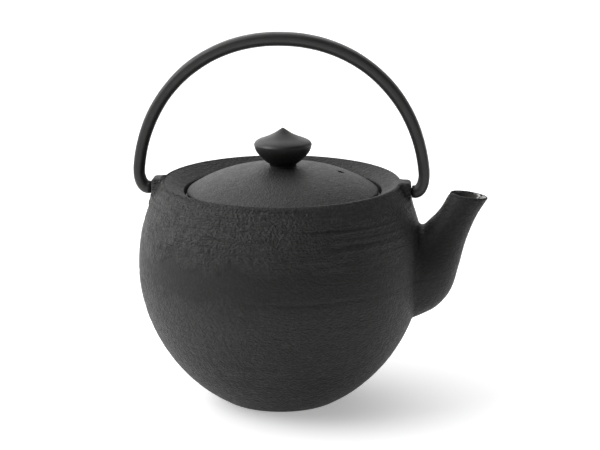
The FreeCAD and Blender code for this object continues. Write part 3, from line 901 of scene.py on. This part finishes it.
class Graph:
    """A material's node tree, with a short way to add a node and wire it."""

    def __init__(self, name):
        self.material = bpy.data.materials.new(name)
        self.material.use_nodes = True
        self.tree = self.material.node_tree
        self.shader = self.tree.nodes["Principled BSDF"]
        self.place = self.add("ShaderNodeTexCoord").outputs["Object"]

    def add(self, kind, settings=None, **sockets):
        node = self.tree.nodes.new(kind)
        for key, value in (settings or {}).items():
            setattr(node, key, value)
        for key, value in sockets.items():
            self.feed(node.inputs[int(key[1:]) if key[0] == "i" and key[1:].isdigit() else key], value)
        return node

    def feed(self, socket, value):
        if isinstance(value, bpy.types.NodeSocket):
            self.tree.links.new(value, socket)
        else:
            socket.default_value = value

    def noise(self, size, detail=3.0, stretch=None, roughness=0.5):
        """Noise with lumps of size mm, or of size times stretch along each axis."""
        place = self.place
        if stretch:
            place = self.add("ShaderNodeMapping", i0=place, Scale=tuple(1 / v for v in stretch)).outputs[0]
        scale = 1 / (size * MM)
        node = self.add("ShaderNodeTexNoise", Vector=place, Scale=scale, Detail=detail, Roughness=roughness)
        return node.outputs["Fac"]

    def scaled(self, value, low, high, to_low, to_high):
        node = self.add("ShaderNodeMapRange", Value=value)
        for key, number in zip(("From Min", "From Max", "To Min", "To Max"), (low, high, to_low, to_high)):
            node.inputs[key].default_value = number
        return node.outputs[0]

    def math(self, operation, a, b):
        return self.add("ShaderNodeMath", {"operation": operation}, i0=a, i1=b).outputs[0]

    def mix(self, share, a, b):
        node = self.add("ShaderNodeMix", {"data_type": "RGBA"})
        self.feed(node.inputs[0], share)
        self.feed(node.inputs[6], a)
        self.feed(node.inputs[7], b)
        return node.outputs[2]

    def bump(self, height, strength, distance, below=None):
        node = self.add("ShaderNodeBump", Height=height, Strength=strength, Distance=distance * MM)
        if below:
            self.feed(node.inputs["Normal"], below)
        return node.outputs[0]

    def along(self, axis):
        return self.add("ShaderNodeSeparateXYZ", i0=self.place).outputs[axis]

    def radius(self):
        """Distance from the body's axis."""
        across = self.math("POWER", self.along("X"), 2.0)
        return self.math("SQRT", self.math("ADD", across, self.math("POWER", self.along("Y"), 2.0)), 0.0)


def paint(obj, *materials):
    for material in materials:
        obj.data.materials.append(material)


def tone(value, warmth=0.03):
    return (value * (1 + warmth), value, value * (1 - warmth), 1)


def body_iron():
    g = Graph("cast_iron_body")
    x = g.along("X")
    z = g.math("ADD", g.along("Z"), g.scaled(g.noise(16, 2), 0.3, 0.7, -0.005, 0.005))
    body_side = g.scaled(x, 0.0660, 0.0715, 1, 0.15)
    # lit_left_side is strongest on the left, where the key light falls, and fades to the right and over the
    # spout.
    lit_left_side = g.math("MULTIPLY", g.scaled(x, -0.045, 0.04, 1, 0.25), body_side)
    upper = g.math("MULTIPLY", g.scaled(z, 0.081, 0.098, 0, 1), lit_left_side)
    upper = g.math("MULTIPLY", upper, g.scaled(g.radius(), 0.0578, 0.0600, 0.1, 1))
    lower = g.math("MULTIPLY", lit_left_side, g.scaled(z, 0.0, 0.03, 0.2, 0.8))
    lower = g.math("MULTIPLY", g.scaled(z, 0.069, 0.052, 0, 1), lower)
    coarse = g.math("MAXIMUM", upper, lower)
    grain = g.noise(1.0, 3, (1.3, 1.3, 0.95))
    lumps = g.noise(2.4, 3)
    lines = g.noise(1.0, 2, (45, 45, 2.0))
    amount = g.scaled(coarse, 0, 1, 0.16, 1)
    first = g.bump(g.math("MULTIPLY", grain, amount), 1.0, 2.8)
    second = g.bump(g.math("MULTIPLY", lumps, amount), 1.0, 0.8, first)
    third = g.bump(g.math("MULTIPLY", lines, upper), 1.0, 5.0, second)
    g.feed(g.shader.inputs["Normal"], third)
    # Where amount is high, on the lit left side and in the upper band, the grain's specks are painted lighter
    # and the shine is raised: painted glints and sheen over the iron's own speckled grain.
    speck = g.scaled(grain, 0.45, 0.72, 0, 1)
    colour = g.mix(g.math("MULTIPLY", speck, amount), tone(0.008), tone(0.040))
    colour = g.mix(g.scaled(g.noise(14, 2), 0.3, 0.7, 0, 0.35), colour, tone(0.008))
    # The base colour darkens towards the bottom and the shine fades there too: painted shade on the lower
    # body, where less light falls.
    g.feed(g.shader.inputs["Base Color"], g.mix(g.scaled(z, 0.015, 0.060, 0.55, 0), colour, tone(0.004)))
    g.feed(g.shader.inputs["Roughness"], g.scaled(lumps, 0.3, 0.7, 0.46, 0.60))
    shine = g.math("MULTIPLY", g.scaled(coarse, 0, 1, 0.24, 0.45), g.scaled(z, 0.02, 0.06, 0.62, 1))
    g.feed(g.shader.inputs["Specular IOR Level"], shine)
    return g.material


def lid_iron():
    g = Graph("cast_iron_lid")
    grain = g.noise(0.9, 3)
    lumps = g.noise(2.6, 2)
    first = g.bump(grain, 1.0, 0.75)
    g.feed(g.shader.inputs["Normal"], g.bump(lumps, 0.7, 0.5, first))
    speck = g.scaled(grain, 0.45, 0.72, 0, 1)
    g.feed(g.shader.inputs["Base Color"], g.mix(speck, tone(0.012), tone(0.030)))
    g.feed(g.shader.inputs["Roughness"], g.scaled(lumps, 0.3, 0.7, 0.42, 0.54))
    g.shader.inputs["Specular IOR Level"].default_value = 0.42
    return g.material


def satin_iron(name, value, rough, shade_below_z):
    g = Graph(name)
    grain = g.noise(0.6, 3)
    lumps = g.noise(4.5, 2)
    first = g.bump(grain, 0.35, 0.08)
    g.feed(g.shader.inputs["Normal"], g.bump(lumps, 0.35, 0.25, first))
    speck = g.scaled(grain, 0.4, 0.7, 0, 1)
    g.feed(g.shader.inputs["Base Color"], g.mix(speck, tone(value), tone(value * 1.5)))
    g.feed(g.shader.inputs["Roughness"], g.scaled(lumps, 0.3, 0.7, rough - 0.05, rough + 0.07))
    # Below shade_below_z the specular drops: painted shade on the knob's underside. The handle lies wholly
    # above its mark.
    shine = g.scaled(g.along("Z"), shade_below_z, shade_below_z + 0.006, 0.06, 0.42)
    g.feed(g.shader.inputs["Specular IOR Level"], shine)
    return g.material


def enamel():
    g = Graph("enamel_lining")
    ripple = g.noise(6, 2)
    g.feed(g.shader.inputs["Normal"], g.bump(ripple, 0.3, 0.25))
    cloud = g.scaled(g.noise(18, 2), 0.3, 0.7, 0, 1)
    g.feed(g.shader.inputs["Base Color"], g.mix(cloud, tone(0.08), tone(0.11)))
    g.feed(g.shader.inputs["Roughness"], g.scaled(ripple, 0.3, 0.7, 0.16, 0.28))
    g.shader.inputs["Specular IOR Level"].default_value = 1.0
    g.shader.inputs["Coat Weight"].default_value = 0.8
    return g.material


def steel(name, stretch):
    g = Graph(name)
    brushed = g.noise(0.5, 3, stretch)
    g.feed(g.shader.inputs["Normal"], g.bump(brushed, 0.25, 0.03))
    g.feed(g.shader.inputs["Base Color"], g.mix(brushed, tone(0.52, 0.0), tone(0.66, 0.0)))
    g.feed(g.shader.inputs["Roughness"], g.scaled(brushed, 0.3, 0.7, 0.24, 0.38))
    g.shader.inputs["Metallic"].default_value = 1
    return g.material


paint(body, body_iron(), enamel())
paint(lid, lid_iron())
paint(knob, satin_iron("satin_iron_knob", 0.010, 0.40, 0.125))
paint(handle, satin_iron("satin_iron_handle", 0.011, 0.42, 0.09))
sheet_steel = steel("sheet_steel", (12, 12, 1))
for piece in strainer:
    paint(piece, sheet_steel)
screw_steel = steel("screw_steel", (3, 3, 1))
for name in ("knob_screw", "knob_washer"):
    mesh = frame["nodes"][name].data
    mesh.materials.clear()
    mesh.materials.append(screw_steel)


# ---------------------------------------------------------------- camera, light and floor


def aim(obj, target):
    direction = Vector(target) - obj.location
    obj.rotation_euler = direction.to_track_quat("-Z", "Y").to_euler()


# The camera was fitted to the photograph: distance and pivot height in mm, angles in degrees.
CAMERA_DISTANCE = 1000
CAMERA_PIVOT_Z = 50
CAMERA_ELEVATION = 16.19
CAMERA_TURN = 5.2
CAMERA_LENS = 119.0


def make_camera():
    elevation, turn = math.radians(CAMERA_ELEVATION), math.radians(CAMERA_TURN)
    data = bpy.data.cameras.new("camera")
    camera = bpy.data.objects.new("camera", data)
    bpy.context.scene.collection.objects.link(camera)
    distance = CAMERA_DISTANCE * MM
    flat = distance * math.cos(elevation)
    height = CAMERA_PIVOT_Z * MM + distance * math.sin(elevation)
    camera.location = (flat * math.sin(turn), -flat * math.cos(turn), height)
    data.lens = CAMERA_LENS
    data.sensor_width = 36
    aim(camera, (0.0095, 0, 0.08905))
    bpy.context.scene.camera = camera


def make_floor():
    g = Graph("studio_floor")
    spread = g.noise(300, 1)
    g.feed(g.shader.inputs["Base Color"], g.mix(spread, tone(0.90, 0.0), tone(0.93, 0.0)))
    g.shader.inputs["Roughness"].default_value = 0.7
    g.shader.inputs["Emission Color"].default_value = (1, 1, 1, 1)
    g.shader.inputs["Emission Strength"].default_value = 0.38
    size = 4.0
    mesh = bpy.data.meshes.new("studio_floor")
    corners = [(-size, -size, 0), (size, -size, 0), (size, size, 0), (-size, size, 0)]
    mesh.from_pydata(corners, [], [(0, 1, 2, 3)])
    floor = bpy.data.objects.new("studio_floor", mesh)
    bpy.context.scene.collection.objects.link(floor)
    mesh.materials.append(g.material)


def area_light(name, place, target, size, power):
    data = bpy.data.lights.new(name, "AREA")
    data.shape = "RECTANGLE"
    data.size, data.size_y = size
    data.energy = power
    light = bpy.data.objects.new(name, data)
    bpy.context.scene.collection.objects.link(light)
    light.location = place
    aim(light, target)


def make_light():
    world = bpy.data.worlds.new("studio")
    world.use_nodes = True
    tree = world.node_tree
    place = tree.nodes.new("ShaderNodeTexCoord").outputs["Generated"]
    slant = tree.nodes.new("ShaderNodeVectorMath")
    slant.operation = "DOT_PRODUCT"
    tree.links.new(place, slant.inputs[0])
    slant.inputs[1].default_value = (-0.62, 0.45, 0.55)
    fade = tree.nodes.new("ShaderNodeMapRange")
    tree.links.new(slant.outputs["Value"], fade.inputs["Value"])
    for key, number in zip(("From Min", "From Max", "To Min", "To Max"), (0.05, 0.92, 0.11, 1.90)):
        fade.inputs[key].default_value = number
    tree.nodes["Background"].inputs["Color"].default_value = (1, 1, 1, 1)
    tree.links.new(fade.outputs[0], tree.nodes["Background"].inputs["Strength"])
    bpy.context.scene.world = world
    bpy.context.scene.view_settings.view_transform = "Standard"
    area_light("key", (-0.95, -0.38, 0.85), (0, 0, 0.08), (0.9, 0.9), 10.5)
    area_light("rim", (0.9, 0.55, 0.35), (0.05, 0, 0.07), (0.3, 0.6), 0.7)


make_camera()
make_floor()
make_light()
